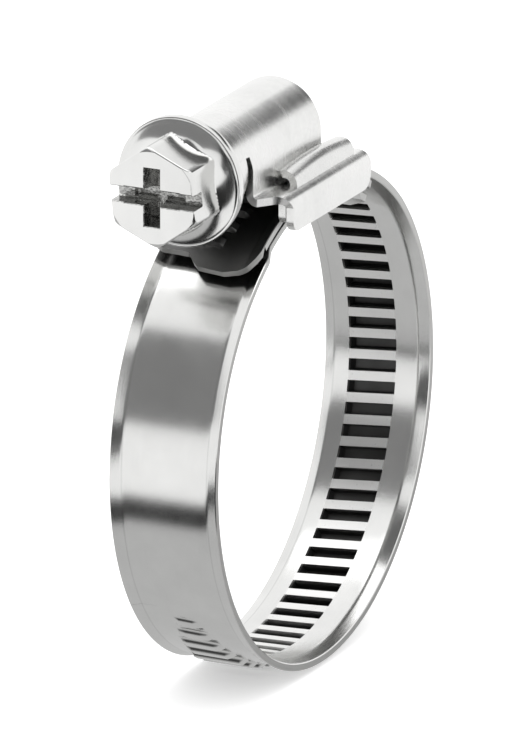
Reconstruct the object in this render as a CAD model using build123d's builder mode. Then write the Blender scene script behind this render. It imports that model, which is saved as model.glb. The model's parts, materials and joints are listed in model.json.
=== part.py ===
"""Worm-drive hose clamp: a pressed housing, a hex-head worm screw and a band cut into hinged links.

Frame, mm: ring axis along Y, screw axis along X with its head at -X, housing on top at +Z.
Angles round the ring are measured from +Z towards -X, in degrees.
"""

import os
from math import atan2, cos, degrees, hypot, pi, radians, sin, tan

from build123d import *

os.makedirs("parts", exist_ok=True)

# ---- overall sizes ----
BORE_R = 18.0  # inside of the ring
BAND_T = 0.6
BAND_W = 9.0
PITCH = 1.75  # ridge to ridge, along the middle of the band
LINK_SHARE = 0.198  # of the ring's length, for each of the two links on the right
JOIN_DEG = 178.0  # where the left arc meets the right arc, at the bottom
FIXED_DEG = 45.0  # left end of the fixed part of the band
TAIL_DEG = 398.0  # tip of the free end
LINK_GAP = 0.04  # between neighbouring links
# ---- band section ----
FLARE_W = 0.9
FLARE_H = 0.3
LAYER_GAP = 0.03  # between the plate and the band over it
TOP_GAP = 0.117  # between the fixed end and the free end over it
STEP_DEG = 2.5  # over which the band steps up on to the plate
TAIL_PLAIN_DEG = 5.0
TAIL_CORNER = 2.0
TONGUE_DEG = -36.0
TONGUE_CUT = 1.5
# ---- pressed thread ----
RIDGE_Y = 0.3  # the ridges' middle, which is the screw's too
RIDGE_L = 4.5
RIDGE_H = 0.45
RIDGE_BASE = 0.68 * PITCH
RIDGE_TOP = 0.4 * PITCH
POCKET_MOUTH = 0.6 * PITCH
POCKET_FLOOR = 0.4 * PITCH
POCKET_END = 0.25  # wall left at each end of a pocket
FLOOR_T = 0.38
FIRST_RIDGE_DEG = 128.0
FIRST_RIDGE_SIZE = 0.5  # the first ridges are shorter and shallower
RIDGE_GROWTH = 0.125  # from each ridge to the next
# ---- screw ----
THREAD_R = 3.2
CORE_R = 2.45
THREAD_TIP = 0.25
THREAD_FLANK_DEG = 20.0
MESH_DEPTH = 0.35  # how far the thread reaches below the ridges' tops
FLANGE_X = -15.4  # front of the flange
FLANGE_R = 5.15
FLANGE_T = 0.9
HEX_AF = 7.0
HEX_H = 4.6
HEX_TURN_DEG = 24.0
HEX_FACE_R = 3.72
HEX_CONE_DEG = 30.0
COVE_R = 0.8
SLOT_W = 1.2
SLOT_D = 1.5
CROSS_W = 1.3
CROSS_L = 4.6
CROSS_D = 2.1
CROSS_TAPER_DEG = 12.0
COVE_FOOT = 0.9  # share of the hexagon's width where the curve to the flange starts
NECK_PLAIN_L = 1.0
PILOT_R = 2.2
PILOT_OUT = 0.35
END_PLAY = 0.1
# ---- housing ----
SHEET_T = 0.6
RUN_FIT = 0.07
SCREW_PLAY = 0.05
BARREL_REAR_X = 1.5
COLLAR_END_X = -11.2
SHOULDER_X = -10.4
WALL_X = -8.2
REAR_X = 5.5
PLATE_X = 4.4  # half length of the plate under the band
SIDE_PLAY = 0.15
FOLD_PLAY = 0.06
SHOULDER_GAP = 0.2  # above the free end's raised edges
WALL_ROUND = 1.2
WALL_LIFT = 0.05  # bottom of the walls over the top of the bore
TAB_X = -6.2
TAB_L = 10.0
TAB_PLAY = 0.15
TAB_BEND = 0.3
LIP_T = 0.7
LIP_FIT = 0.06
LIP_DROP = 1.3  # the lip stops this far under the screw's middle
WEDGE_H = 1.2

# ---- worked out ----
mid_r = BORE_R + BAND_T / 2
link_pitches = round(LINK_SHARE * 2 * pi * mid_r / PITCH)
# the right half's arc is wider, so that the free end comes round on top of the fixed end
layers = SHEET_T + LAYER_GAP + BAND_T + TOP_GAP
rise = layers / 2
for _ in range(10):
    rise = layers / (1 - cos(2 * link_pitches * PITCH / (mid_r + rise)))
wide_r = mid_r + rise
turn_deg = degrees(2 * link_pitches * PITCH / wide_r)
wide_x = rise * sin(radians(JOIN_DEG))
wide_z = -rise * cos(radians(JOIN_DEG))
last_deg = JOIN_DEG + turn_deg
hinge_x = wide_x - wide_r * sin(radians(last_deg))
hinge_z = wide_z + wide_r * cos(radians(last_deg))
top_r = hypot(hinge_x, hinge_z)  # middle of the free end
top_deg = 360 - degrees(atan2(hinge_x, hinge_z))
free_out = top_r + BAND_T / 2
fixed_in = BORE_R + SHEET_T + LAYER_GAP
screw_z = free_out + RIDGE_H - MESH_DEPTH + THREAD_R
mesh_r = free_out + RIDGE_H / 2
lead = PITCH * mesh_r / top_r
slant_deg = degrees(atan2(lead, 2 * pi * THREAD_R))
step_deg = degrees(PITCH / top_r)
gap_deg = top_deg + step_deg * round((360 - top_deg) / step_deg)
mesh_x = -mesh_r * sin(radians(gap_deg))
barrel_in = THREAD_R + RUN_FIT
barrel_out = barrel_in + SHEET_T
barrel_x = FLANGE_X + FLANGE_T + SCREW_PLAY
half_in = BAND_W / 2 + SIDE_PLAY
half_out = half_in + SHEET_T
shoulder_z = free_out + FLARE_H + SHOULDER_GAP


def radial(angle):
    """Unit vector out from the ring's middle."""
    return Vector(-sin(radians(angle)), 0, cos(radians(angle)))


def section(angle, centre, inner, half=BAND_W / 2, thick=BAND_T, flared=True):
    """Polygon of the band across its length, in the plane at one angle."""
    plane = Plane(origin=centre, x_dir=(0, 1, 0), z_dir=(cos(radians(angle)), 0, sin(radians(angle))))
    lift = FLARE_H if flared else 0.0
    lower = [(-half, lift), (-half + FLARE_W, 0), (half - FLARE_W, 0), (half, lift)]
    upper = [(y, r + thick) for y, r in reversed(lower)]
    with BuildSketch(plane) as face:
        with BuildLine():
            Polyline([(y, r + inner) for y, r in lower + upper], close=True)
        make_face()
    return face.sketch


def ridge_plane(angle, centre, radius):
    """Plane across one ridge: x along the band, y outwards, z along the slanted ridge."""
    along = Vector(cos(radians(angle)), 0, sin(radians(angle)))
    across = Vector(0, 1, 0) * cos(radians(slant_deg)) + along * sin(radians(slant_deg))
    out = radial(angle)
    origin = Vector(*centre) + out * radius + Vector(0, RIDGE_Y, 0)
    return Plane(origin=origin, x_dir=out.cross(across), z_dir=across)


def trapezoid(place, base, top, low, high):
    """Closed outline for a ridge or a pocket."""
    with BuildSketch(place) as face:
        with BuildLine():
            Polyline([(-base / 2, low), (base / 2, low), (top / 2, high), (-top / 2, high)], close=True)
        make_face()
    return face.sketch


def press_thread(angle, centre, outer, size=1.0):
    """One pressed ridge outside and the pocket under it, added to the part being built."""
    place = ridge_plane(angle, centre, outer)
    height = RIDGE_H * size
    length = RIDGE_L * size
    spread = (RIDGE_BASE - RIDGE_TOP) * 0.5
    outline = trapezoid(place, RIDGE_BASE + spread, RIDGE_TOP, -BAND_T / 4, height)
    extrude(outline, amount=length / 2, both=True)
    outline = trapezoid(place, POCKET_MOUTH, POCKET_FLOOR, -BAND_T * 1.2, height - FLOOR_T)
    extrude(outline, amount=length / 2 - POCKET_END, both=True, mode=Mode.SUBTRACT)


def sweep_band(centre, inner, start, end, **shape):
    """Revolve the band's section about a line along Y, into the part being built."""
    face = section(start, centre, inner, **shape)
    revolve(face, axis=Axis(centre, (0, -1, 0)), revolution_arc=end - start)


def gap_angle(radius):
    return degrees(LINK_GAP / 2 / radius)


origin = (0, 0, 0)
wide = (wide_x, 0, wide_z)
middle_deg = (FIXED_DEG + JOIN_DEG) / 2

# ---- band, left links ----
with BuildPart() as link_1:
    sweep_band(origin, BORE_R, FIXED_DEG + gap_angle(mid_r), middle_deg - gap_angle(mid_r))
link_1.part.label = "band_link_1"
export_step(link_1.part, "parts/band_link_1.step")

with BuildPart() as link_2:
    sweep_band(origin, BORE_R, middle_deg + gap_angle(mid_r), JOIN_DEG - gap_angle(mid_r))
    left_step = degrees(PITCH / mid_r)
    left_count = int((JOIN_DEG - FIRST_RIDGE_DEG) / left_step)
    for k in range(left_count):
        growth = min(1.0, FIRST_RIDGE_SIZE + RIDGE_GROWTH * (left_count - 1 - k))
        press_thread(JOIN_DEG - (k + 0.5) * left_step, origin, BORE_R + BAND_T, growth)
link_2.part.label = "band_link_2"
export_step(link_2.part, "parts/band_link_2.step")

# ---- band, right links ----
wide_step = degrees(PITCH / wide_r)
half_deg = JOIN_DEG + link_pitches * wide_step
wide_in = wide_r - BAND_T / 2
with BuildPart() as link_3:
    sweep_band(wide, wide_in, JOIN_DEG + gap_angle(wide_r), half_deg - gap_angle(wide_r))
    for k in range(link_pitches):
        press_thread(JOIN_DEG + (k + 0.5) * wide_step, wide, wide_in + BAND_T)
link_3.part.label = "band_link_3"
export_step(link_3.part, "parts/band_link_3.step")

with BuildPart() as link_4:
    sweep_band(wide, wide_in, half_deg + gap_angle(wide_r), last_deg - gap_angle(wide_r))
    for k in range(link_pitches):
        press_thread(half_deg + (k + 0.5) * wide_step, wide, wide_in + BAND_T)
link_4.part.label = "band_link_4"
export_step(link_4.part, "parts/band_link_4.step")

# ---- band, free end ----
tail_in = top_r - BAND_T / 2
tail_count = int((TAIL_DEG - TAIL_PLAIN_DEG - top_deg) / step_deg)
with BuildPart() as tail:
    sweep_band(origin, tail_in, top_deg + gap_angle(top_r), TAIL_DEG)
    for k in range(tail_count):
        press_thread(top_deg + (k + 0.5) * step_deg, origin, free_out)
    tip = tail.faces().sort_by(Axis.X)[0]
    fillet([e for e in tip.edges() if abs(e.length - BAND_T) < 0.1 * BAND_T], TAIL_CORNER)
tail.part.label = "band_free_end"
export_step(tail.part, "parts/band_free_end.step")

# ---- band, fixed end ----
plate_left_deg = degrees(-WALL_X / BORE_R)
plate_right_deg = -degrees(REAR_X / BORE_R)
tongue_deg = plate_right_deg - 2 * STEP_DEG
tongue_shape = {"half": BAND_W / 2 - FLARE_W, "flared": False}
with BuildPart() as fixed_end:
    sweep_band(origin, BORE_R, plate_left_deg + 2 * STEP_DEG, FIXED_DEG - gap_angle(mid_r))
    sweep_band(origin, fixed_in, plate_right_deg - STEP_DEG, plate_left_deg + STEP_DEG)
    sweep_band(origin, BORE_R, TONGUE_DEG, tongue_deg, **tongue_shape)
    left_low = section(plate_left_deg + 2 * STEP_DEG, origin, BORE_R)
    left_high = section(plate_left_deg + STEP_DEG, origin, fixed_in)
    loft([left_high, left_low])
    right_low = section(tongue_deg, origin, BORE_R, **tongue_shape)
    right_high = section(plate_right_deg - STEP_DEG, origin, fixed_in)
    loft([right_low, right_high])
    tongue_tip = fixed_end.faces().sort_by(Axis.X)[-1]
    chamfer([e for e in tongue_tip.edges() if abs(e.length - BAND_T) < 0.1 * BAND_T], TONGUE_CUT)
fixed_end.part.label = "band_fixed_end"
export_step(fixed_end.part, "parts/band_fixed_end.step")

# ---- screw ----
pilot_x = BARREL_REAR_X - LIP_T - END_PLAY
pilot_end = BARREL_REAR_X + PILOT_OUT
face_x = FLANGE_X - HEX_H
thread_x = barrel_x + NECK_PLAIN_L
turns_to_mesh = (mesh_x - thread_x) / lead
flank = tan(radians(THREAD_FLANK_DEG))
low = CORE_R - 0.1 * BAND_T
crest = THREAD_TIP / 2
root = crest + (THREAD_R - low) * flank
thread_l = pilot_x - root - thread_x
screw_at = (0, RIDGE_Y, screw_z)
hex_corner = HEX_AF / 2 / cos(pi / 6)
cove_foot = COVE_FOOT * HEX_AF / 2

with BuildPart() as screw:
    with BuildSketch(Plane(origin=(face_x, RIDGE_Y, screw_z), x_dir=(0, -1, 0), z_dir=(1, 0, 0))):
        RegularPolygon(radius=hex_corner, side_count=6, rotation=HEX_TURN_DEG)
    extrude(amount=HEX_H + FLANGE_T / 2)
    # chamfered front: everything outside one cone goes
    with BuildSketch(Plane(origin=screw_at, x_dir=(1, 0, 0), z_dir=(0, -1, 0))):
        with BuildLine():
            Polyline(
                [
                    (face_x, HEX_FACE_R),
                    (face_x, 2 * HEX_AF),
                    (face_x + (2 * HEX_AF - HEX_FACE_R) * tan(radians(HEX_CONE_DEG)), 2 * HEX_AF),
                ],
                close=True,
            )
        make_face()
    revolve(axis=Axis(screw_at, (1, 0, 0)), mode=Mode.SUBTRACT)
    # flange with a hollow curve up to the hexagon, neck, thread core and pilot
    with BuildSketch(Plane(origin=screw_at, x_dir=(1, 0, 0), z_dir=(0, -1, 0))):
        with BuildLine():
            cove_top = (FLANGE_X - COVE_R, cove_foot)
            cove_end = (FLANGE_X, cove_foot + COVE_R)
            Polyline([(pilot_end, 0), (FLANGE_X - COVE_R, 0), cove_top])
            RadiusArc(cove_top, cove_end, COVE_R)
            Polyline(
                [
                    cove_end,
                    (FLANGE_X, FLANGE_R - FLANGE_T / 3),
                    (FLANGE_X + FLANGE_T / 3, FLANGE_R),
                    (FLANGE_X + FLANGE_T, FLANGE_R),
                    (FLANGE_X + FLANGE_T, CORE_R),
                    (pilot_x, CORE_R),
                    (pilot_x, PILOT_R),
                    (pilot_end, PILOT_R),
                    (pilot_end, 0),
                ]
            )
        make_face()
    revolve(axis=Axis(screw_at, (1, 0, 0)))
    # plain neck that turns in the housing's collar
    with BuildSketch(Plane(origin=(FLANGE_X + FLANGE_T, RIDGE_Y, screw_z), z_dir=(1, 0, 0))):
        Circle(THREAD_R)
    extrude(amount=SCREW_PLAY + NECK_PLAIN_L)
    # slot and cross
    with BuildSketch(Plane(origin=(face_x, RIDGE_Y, screw_z), x_dir=(0, -1, 0), z_dir=(1, 0, 0))):
        Rectangle(2 * HEX_AF, SLOT_W)
    extrude(amount=SLOT_D, mode=Mode.SUBTRACT)
    with BuildSketch(Plane(origin=(face_x, RIDGE_Y, screw_z), x_dir=(0, -1, 0), z_dir=(1, 0, 0))):
        Rectangle(CROSS_W, CROSS_L)
        Rectangle(CROSS_L, CROSS_W)
    extrude(amount=CROSS_D, taper=CROSS_TAPER_DEG, mode=Mode.SUBTRACT)
    # thread: the section at the bottom of the screw, carried along the helix
    phase_deg = -360 * turns_to_mesh
    helix = Helix(lead, thread_l, CORE_R)
    with BuildSketch(Plane.XZ) as tooth:
        with BuildLine():
            Polyline([(low, -root), (THREAD_R, -crest), (THREAD_R, crest), (low, root)], close=True)
        make_face()
    upright = sweep(tooth.sketch, path=helix, is_frenet=True, mode=Mode.PRIVATE)
    place = Plane(origin=(thread_x, RIDGE_Y, screw_z), x_dir=(0, 0, -1), z_dir=(1, 0, 0))
    add(place.from_local_coords(Rotation(0, 0, phase_deg) * upright))
screw.part.label = "screw"
export_step(screw.part, "parts/screw.step")

# ---- housing ----
low_z = BORE_R + WALL_LIFT
wall_top = shoulder_z + SHEET_T
wall_l = REAR_X - WALL_X
near_inner = -half_out
near_fold = near_inner - FOLD_PLAY
near_outer = near_fold - SHEET_T
tab_low = wall_top + FOLD_PLAY
tab_top = tab_low + SHEET_T
tab_y = RIDGE_Y - barrel_out - FOLD_PLAY


def across(x):
    """Plane across the screw's axis: x along Y, y along Z."""
    return Plane(origin=(x, 0, 0), x_dir=(0, 1, 0), z_dir=(1, 0, 0))


with BuildPart() as housing:
    # barrel, closed round the screw only at the front
    with BuildSketch(across(barrel_x)):
        with Locations((RIDGE_Y, screw_z)):
            Circle(barrel_out)
            Circle(barrel_in, mode=Mode.SUBTRACT)
    extrude(amount=BARREL_REAR_X - barrel_x)
    with BuildSketch(across(COLLAR_END_X)):
        with Locations((RIDGE_Y, screw_z - barrel_out)):
            Rectangle(4 * barrel_out, 2 * barrel_out)
    extrude(amount=wall_l + barrel_out, mode=Mode.SUBTRACT)
    # both sides down from the barrel, then out over the band
    with BuildSketch(across(SHOULDER_X)):
        for side, reach in ((-1, near_outer), (1, half_out)):
            inside = RIDGE_Y + side * barrel_in
            outside = RIDGE_Y + side * barrel_out
            with BuildLine():
                Polyline(
                    [
                        (inside, screw_z),
                        (outside, screw_z),
                        (outside, wall_top),
                        (reach, wall_top),
                        (reach, shoulder_z),
                        (inside, shoulder_z),
                    ],
                    close=True,
                )
            make_face()
    extrude(amount=BARREL_REAR_X - SHOULDER_X)
    with BuildSketch(Plane.XY.offset(shoulder_z)):
        for side, reach in ((-1, near_outer), (1, half_out)):
            inside = RIDGE_Y + side * barrel_in
            with Locations(((BARREL_REAR_X + REAR_X - WALL_ROUND) / 2, (reach + inside) / 2)):
                Rectangle(REAR_X - WALL_ROUND - BARREL_REAR_X, abs(reach - inside))
    extrude(amount=SHEET_T)
    # lip at the back that keeps the screw in
    with BuildSketch(across(BARREL_REAR_X - LIP_T)):
        with Locations((RIDGE_Y, screw_z)):
            Circle((barrel_in + barrel_out) / 2)
            Circle(PILOT_R + LIP_FIT, mode=Mode.SUBTRACT)
        with Locations((RIDGE_Y, screw_z - LIP_DROP - barrel_out)):
            Rectangle(4 * barrel_out, 2 * barrel_out, mode=Mode.SUBTRACT)
    extrude(amount=LIP_T)
    # far wall, and the near side's outer wall
    for side_y in (half_in, near_fold):
        with BuildSketch(Plane(origin=(0, side_y, 0), x_dir=(1, 0, 0), z_dir=(0, -1, 0))) as wall:
            with Locations(((WALL_X + REAR_X) / 2, (low_z + wall_top) / 2)):
                Rectangle(wall_l, wall_top - low_z)
            fillet(wall.vertices().sort_by(Axis.X)[-2:], WALL_ROUND)
        extrude(amount=SHEET_T if side_y < 0 else -SHEET_T)
    # slot in the near shoulder for the tab
    with BuildSketch(Plane.XY.offset(shoulder_z)):
        with Locations((TAB_X + TAB_L / 2, (near_fold - half_in + TAB_PLAY) / 2)):
            Rectangle(TAB_L + 2 * TAB_PLAY, half_in * -1 + TAB_PLAY - near_fold)
    extrude(amount=SHEET_T, mode=Mode.SUBTRACT)
    # near inner layer up to the shoulder
    with BuildSketch(Plane(origin=(0, -half_in, 0), x_dir=(1, 0, 0), z_dir=(0, -1, 0))):
        with Locations(((WALL_X + REAR_X - WALL_ROUND) / 2, (low_z + shoulder_z - FOLD_PLAY) / 2)):
            Rectangle(wall_l - WALL_ROUND, shoulder_z - FOLD_PLAY - low_z)
    extrude(amount=SHEET_T)
    # its tab goes through the slot and folds over against the barrel
    with BuildSketch(across(TAB_X)) as bent:
        with BuildLine():
            Polyline(
                [
                    (-half_in, low_z),
                    (-half_in, tab_low),
                    (tab_y, tab_low),
                    (tab_y, tab_top),
                    (near_inner, tab_top),
                    (near_inner, low_z),
                ],
                close=True,
            )
        make_face()
        corners = bent.vertices().sort_by_distance((near_inner, tab_top, 0))
        fillet(corners[0], SHEET_T + TAB_BEND)
    extrude(amount=TAB_L)
    # plate under the band
    plate_deg = degrees(PLATE_X / BORE_R)
    plate_at = Plane(
        origin=(0, 0, 0),
        x_dir=(0, 1, 0),
        z_dir=(cos(radians(plate_deg)), 0, -sin(radians(plate_deg))),
    )
    with BuildSketch(plate_at):
        with Locations((0, BORE_R + SHEET_T / 2)):
            Rectangle(2 * half_out, SHEET_T)
    revolve(axis=Axis(origin, (0, -1, 0)), revolution_arc=2 * plate_deg)
    # everything inside the ring goes
    with BuildSketch(Plane.XZ):
        Circle(BORE_R)
    extrude(amount=BAND_W * 2, both=True, mode=Mode.SUBTRACT)
    # relief cut at the front of the near shoulder
    with BuildSketch(Plane.XZ):
        with BuildLine():
            Polyline(
                [
                    (COLLAR_END_X, screw_z - WEDGE_H),
                    (SHOULDER_X, screw_z - WEDGE_H),
                    (SHOULDER_X - BAND_T / 2, screw_z + WEDGE_H),
                ],
                close=True,
            )
        make_face()
    extrude(amount=2 * barrel_out, mode=Mode.SUBTRACT)
housing.part.label = "housing"
export_step(housing.part, "parts/housing.step")
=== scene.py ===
"""Looks of the worm-drive hose clamp: band, housing and screw in stainless steel, on a pale floor."""

import json
from math import asin, atan2, cos, degrees, hypot, pi, radians, sin, sqrt, tan

import bmesh
import bpy
import numpy as np
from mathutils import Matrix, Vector


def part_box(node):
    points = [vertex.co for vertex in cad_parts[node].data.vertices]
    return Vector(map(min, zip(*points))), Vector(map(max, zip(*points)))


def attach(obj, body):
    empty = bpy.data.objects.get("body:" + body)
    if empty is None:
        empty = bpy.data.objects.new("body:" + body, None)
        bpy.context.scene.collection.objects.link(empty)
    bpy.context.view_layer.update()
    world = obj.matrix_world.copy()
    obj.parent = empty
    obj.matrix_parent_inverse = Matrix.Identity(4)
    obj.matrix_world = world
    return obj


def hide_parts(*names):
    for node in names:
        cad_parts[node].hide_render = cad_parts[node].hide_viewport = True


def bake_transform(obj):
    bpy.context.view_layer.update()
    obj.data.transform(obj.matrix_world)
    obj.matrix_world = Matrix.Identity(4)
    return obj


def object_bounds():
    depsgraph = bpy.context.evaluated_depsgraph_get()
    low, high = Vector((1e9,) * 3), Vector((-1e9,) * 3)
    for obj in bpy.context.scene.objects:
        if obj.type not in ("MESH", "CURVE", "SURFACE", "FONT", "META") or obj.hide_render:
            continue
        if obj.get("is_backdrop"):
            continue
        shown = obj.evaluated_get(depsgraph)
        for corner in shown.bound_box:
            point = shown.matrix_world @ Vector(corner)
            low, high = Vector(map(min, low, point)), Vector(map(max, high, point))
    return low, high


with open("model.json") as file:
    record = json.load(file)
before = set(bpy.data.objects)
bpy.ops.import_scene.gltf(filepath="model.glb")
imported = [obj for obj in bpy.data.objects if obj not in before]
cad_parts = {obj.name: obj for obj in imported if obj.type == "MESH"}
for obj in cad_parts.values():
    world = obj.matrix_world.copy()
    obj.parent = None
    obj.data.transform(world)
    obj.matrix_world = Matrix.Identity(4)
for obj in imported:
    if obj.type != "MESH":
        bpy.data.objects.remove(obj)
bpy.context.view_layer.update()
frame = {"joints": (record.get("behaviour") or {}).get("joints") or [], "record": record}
MM = 0.001

# ---------------------------------------------------------------- sizes, read from the frame
joints = {j["name"]: j for j in frame["joints"]}
BEND = [Vector(joints[f"band_bend_{i}"]["pos_m"]) / MM for i in range(1, 6)]
AXIS = Vector(joints["screw_turn"]["pos_m"]) / MM
BORE_R = next(m for m in frame["record"]["mounts"] if m["name"] == "hose_bore")["dims"]["r_mm"]


def box(node):
    """A CAD node's box as its two corners, in millimetres."""
    low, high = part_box(node)
    return Vector(low) / MM, Vector(high) / MM


HOUSING = box("housing")
SCREW = box("screw")
MID_R = hypot(BEND[0].x, BEND[0].z)
SHEET = 2 * (MID_R - BORE_R)
BAND_HALF = box("band_link_1")[1].y
WIDE_RISE = 0.78  # the right side's arc is this much wider than the left's
WIDE_R = MID_R + WIDE_RISE
JOIN = atan2(-BEND[2].x, BEND[2].z)
WIDE_X = WIDE_RISE * sin(JOIN)
WIDE_Z = -WIDE_RISE * cos(JOIN)
TOP_R = hypot(BEND[4].x, BEND[4].z)
TOP_A = 2 * pi - atan2(BEND[4].x, BEND[4].z)

# sizes that the frame doesn't hold, in millimetres
PITCH = 1.75
LINKS = 13  # ridges on each right-hand link
WIDE_LONG = 2 * LINKS * PITCH
RAISED = SHEET + 0.03  # the fixed end lies on the housing's plate
FLARE_W = 0.9  # the band's raised edges
FLARE_H = 0.3
RIDGE_Y = AXIS.y
RIDGE_L = 4.5
RIDGE_H = 0.45
RIDGE_FOOT = 1.24
RIDGE_TOP = 0.66
RIDGE_END = 0.42  # slope at a ridge's ends
POCKET_MOUTH = 0.98
POCKET_FLOOR = 0.8
POCKET_DEPTH = 0.74
POCKET_END = 0.22, 0.5  # slope at a pocket's ends, from the ridge's end
FIRST_SIZE = 0.5  # the first ridges grow from this share of the full size
LAST_SIZE = 0.45
THREAD_R = 3.2
RUNNING_GAP = 0.07
BARREL_R = THREAD_R + RUNNING_GAP + SHEET / 2


# ---------------------------------------------------------------- node writing
class Value:
    """A node socket that can be used in arithmetic; each operation adds a Math node."""

    def __init__(self, tree, socket):
        self.tree, self.socket = tree, socket

    def _math(self, operation, *values):
        return self.tree.add("ShaderNodeMath", {"operation": operation}, *values)

    def __add__(self, other):
        return self._math("ADD", self, other)

    def __sub__(self, other):
        return self._math("SUBTRACT", self, other)

    def __mul__(self, other):
        return self._math("MULTIPLY", self, other)

    def __truediv__(self, other):
        return self._math("DIVIDE", self, other)

    def __mod__(self, other):
        return self._math("FLOORED_MODULO", self, other)

    def __gt__(self, other):
        return self._math("GREATER_THAN", self, other)

    def __lt__(self, other):
        return self._math("LESS_THAN", self, other)

    def __abs__(self):
        return self._math("ABSOLUTE", self)

    def __neg__(self):
        return self * -1.0

    def __radd__(self, other):
        return self + other

    def __rsub__(self, other):
        return self._math("SUBTRACT", other, self)

    def __rmul__(self, other):
        return self * other

    def __rtruediv__(self, other):
        return self._math("DIVIDE", other, self)

    def sin(self):
        return self._math("SINE", self)

    def cos(self):
        return self._math("COSINE", self)

    def at_least(self, other):
        return self._math("MAXIMUM", self, other)

    def at_most(self, other):
        return self._math("MINIMUM", self, other)


class Tree:
    """Adds nodes to one tree: a type, its settings, then values or links by socket name or order."""

    def __init__(self, tree):
        self.tree = tree

    def make(self, kind, settings=None, *values, **named):
        """A new node."""
        node = self.tree.nodes.new(kind)
        for key, setting in (settings or {}).items():
            setattr(node, key, setting)
        pairs = list(zip(node.inputs, values))
        pairs += [(node.inputs[name.replace("_", " ")], value) for name, value in named.items()]
        for socket, value in pairs:
            if isinstance(value, Value):
                self.tree.links.new(value.socket, socket)
            else:
                socket.default_value = value
        return node

    def add(self, kind, settings=None, *values, output=0, **named):
        """A new node's output as a Value."""
        return Value(self, self.make(kind, settings, *values, **named).outputs[output])

    def step(self, value, low, high, out_low=0.0, out_high=1.0):
        """Smooth step from out_low to out_high as value goes from low to high."""
        return self.add(
            "ShaderNodeMapRange",
            {"interpolation_type": "SMOOTHSTEP"},
            value, low, high, out_low, out_high,
        )

    def ramp(self, value, low, high, out_low=0.0, out_high=1.0):
        """Straight ramp from out_low to out_high as value goes from low to high."""
        return self.add("ShaderNodeMapRange", {}, value, low, high, out_low, out_high)


def geometry_tree(name, inputs):
    """A geometry node group with a named number input for each size. Returns tree, geometry, values."""
    group = bpy.data.node_groups.new(name, "GeometryNodeTree")
    group.interface.new_socket("Geometry", in_out="INPUT", socket_type="NodeSocketGeometry")
    for label in inputs:
        group.interface.new_socket(label, in_out="INPUT", socket_type="NodeSocketFloat")
    group.interface.new_socket("Geometry", in_out="OUTPUT", socket_type="NodeSocketGeometry")
    tree = Tree(group)
    entry = tree.make("NodeGroupInput")
    values = {label: Value(tree, entry.outputs[label]) for label in inputs}
    return tree, Value(tree, entry.outputs["Geometry"]), values


def run_tree(start, group, sizes, name):
    """Run a node group on a mesh object and keep the result as a plain mesh object."""
    modifier = start.modifiers.new("shape", "NODES")
    modifier.node_group = group
    for item in group.interface.items_tree:
        if item.item_type == "SOCKET" and item.in_out == "INPUT" and item.name in sizes:
            modifier[item.identifier] = float(sizes[item.name])
    return bake(start, name)


def bake(source, name):
    """The evaluated object as a plain mesh object with no modifiers."""
    bpy.context.view_layer.update()
    graph = bpy.context.evaluated_depsgraph_get()
    evaluated = source.evaluated_get(graph)
    mesh = bpy.data.meshes.new_from_object(evaluated, preserve_all_data_layers=True, depsgraph=graph)
    made = bpy.data.objects.new(name, mesh)
    mesh.name = name
    bpy.context.collection.objects.link(made)
    bpy.data.objects.remove(source)
    return made


def mesh_object(name, points, faces):
    """A mesh object from points in millimetres."""
    mesh = bpy.data.meshes.new(name)
    mesh.from_pydata((np.asarray(points, float) * MM).tolist(), [], faces)
    mesh.validate()
    made = bpy.data.objects.new(name, mesh)
    bpy.context.collection.objects.link(made)
    return made


def shade(made, angle):
    """Merge doubles, point faces outwards and shade smooth except over sharp edges."""
    work = bmesh.new()
    work.from_mesh(made.data)
    bmesh.ops.remove_doubles(work, verts=work.verts, dist=0.002 * MM)
    bmesh.ops.dissolve_degenerate(work, edges=work.edges, dist=0.001 * MM)
    bmesh.ops.recalc_face_normals(work, faces=work.faces)
    if work.calc_volume(signed=True) < 0:
        bmesh.ops.reverse_faces(work, faces=work.faces)
    work.to_mesh(made.data)
    work.free()
    made.data.shade_smooth()
    made.data.set_sharp_from_angle(angle=radians(angle))
    return made


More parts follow.
